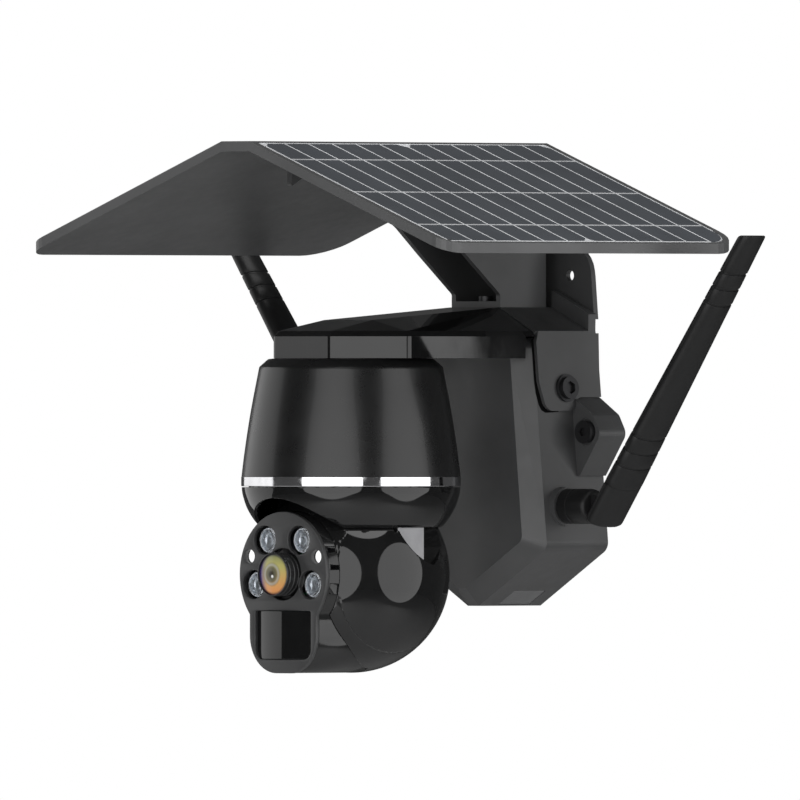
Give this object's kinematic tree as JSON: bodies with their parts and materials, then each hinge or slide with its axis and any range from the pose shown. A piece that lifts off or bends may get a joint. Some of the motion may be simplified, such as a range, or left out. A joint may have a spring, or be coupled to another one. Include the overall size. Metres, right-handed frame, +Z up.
{
  "type": "solar security camera",
  "caption": "Wall-mounted pan and tilt security camera under a gabled solar roof, with a battery box and two folding antennas.",
  "frame": {"origin": "midway between the wall plate's two screw holes, on its back face", "axes": "+X along the wall, +Y into the wall, +Z up"},
  "size_m": [0.3824, 0.2115, 0.2654],
  "materials": {
    "shell_black": "fine moulded texture",
    "gloss_black": "high gloss moulding",
    "roof_black": "fine moulded texture",
    "antenna_black": "satin",
    "chrome_trim": "bright plated trim",
    "steel": "zinc plated",
    "black_steel": "black oxide",
    "brass": "turned",
    "solar_cell": "dark monocrystalline cells under clear film",
    "sheet_white": "laminated backing sheet",
    "board_green": "solder mask",
    "board_black": "black solder mask",
    "battery_wrap": "shrink wrap",
    "dark_plastic": "moulded",
    "rubber_seal": "matte",
    "red_plastic": "moulded",
    "white_plastic": "moulded",
    "coated_glass": "coated lens glass",
    "led_glass": "clear moulded lens",
    "window_glass": "dark window"
  },
  "bodies": {
    "bracket": {"wall_bracket": "shell_black", "bracket_bolts": "black_steel", "roof_neck": "shell_black", "neck_screws": "steel", "roof_tray": "roof_black", "roof_screws": "steel", "solar_sheet_left": "sheet_white", "solar_sheet_right": "sheet_white", "solar_cells_left": "solar_cell", "solar_cells_right": "solar_cell", "box_front_shell": "shell_black", "box_rear_shell": "shell_black", "box_gasket": "rubber_seal", "shell_screws": "black_steel", "battery_holder": "dark_plastic", "battery_cells": "battery_wrap", "main_board": "board_green", "board_screws": "steel", "speaker": "dark_plastic", "port_board": "board_green", "usb_socket": "steel", "card_slot": "steel", "antenna_jacks": "brass", "arm_base": "gloss_black", "arm_cover": "gloss_black", "arm_screws": "steel", "dome_housing": "gloss_black", "trim_ring": "chrome_trim", "pan_base": "dark_plastic", "pan_motor": "steel", "pan_bearing": "steel"},
    "pan_head": {"pan_shaft": "brass", "pan_plate": "dark_plastic", "pan_bowl": "gloss_black", "bowl_screws": "steel", "yoke": "steel"},
    "eye_ball": {"ball_shell": "gloss_black", "ball_cap_left": "gloss_black", "ball_cap_right": "gloss_black", "tilt_motor": "steel", "tilt_shafts": "brass", "eye_housing": "gloss_black", "eye_plate": "gloss_black", "lens_barrel": "gloss_black", "lens_glass": "coated_glass", "sensor_board": "board_green", "led_board": "board_black", "led_lenses": "led_glass", "light_windows": "white_plastic", "pir_window": "window_glass", "pir_sensor": "steel"},
    "knuckle_left": {"antenna_knuckle_left": "antenna_black"},
    "knuckle_right": {"antenna_knuckle_right": "antenna_black"},
    "blade_left": {"antenna_left": "antenna_black"},
    "blade_right": {"antenna_right": "antenna_black"},
    "flap": {"port_cover": "rubber_seal"},
    "button": {"reset_button": "red_plastic"}
  },
  "joints": [
    {"name": "pan", "type": "hinge", "parent": "bracket", "child": "pan_head", "pos_m": [0, -0.1315, -0.1495], "axis": [0, 0, 1], "range_deg": [-177, 177]},
    {"name": "tilt", "type": "hinge", "parent": "pan_head", "child": "eye_ball", "pos_m": [0, -0.1315, -0.1495], "axis": [1, 0, 0], "range_deg": [-5, 90]},
    {"name": "swivel_right", "type": "hinge", "parent": "bracket", "child": "knuckle_right", "pos_m": [0.0543, -0.033, -0.11575], "axis": [1, 0, 0], "range_deg": [-8, 90]},
    {"name": "fold_right", "type": "hinge", "parent": "knuckle_right", "child": "blade_right", "pos_m": [0.0855, -0.033, -0.11575], "axis": [0, 1, 0], "range_deg": [-6, 53]},
    {"name": "swivel_left", "type": "hinge", "parent": "bracket", "child": "knuckle_left", "pos_m": [-0.0543, -0.033, -0.11575], "axis": [1, 0, 0], "range_deg": [-8, 90]},
    {"name": "fold_left", "type": "hinge", "parent": "knuckle_left", "child": "blade_left", "pos_m": [-0.0855, -0.033, -0.11575], "axis": [0, -1, 0], "range_deg": [-6, 53]},
    {"name": "port_flap", "type": "hinge", "parent": "bracket", "child": "flap", "pos_m": [0.01545, -0.023, -0.15801], "axis": [0, -1, 0], "range_deg": [0, 100]},
    {"name": "reset_press", "type": "slide", "parent": "bracket", "child": "button", "axis": [-0.5075, 0, 0.8616], "range_m": [0, 0.0005], "stiffness_N_per_m": 400}
  ]
}
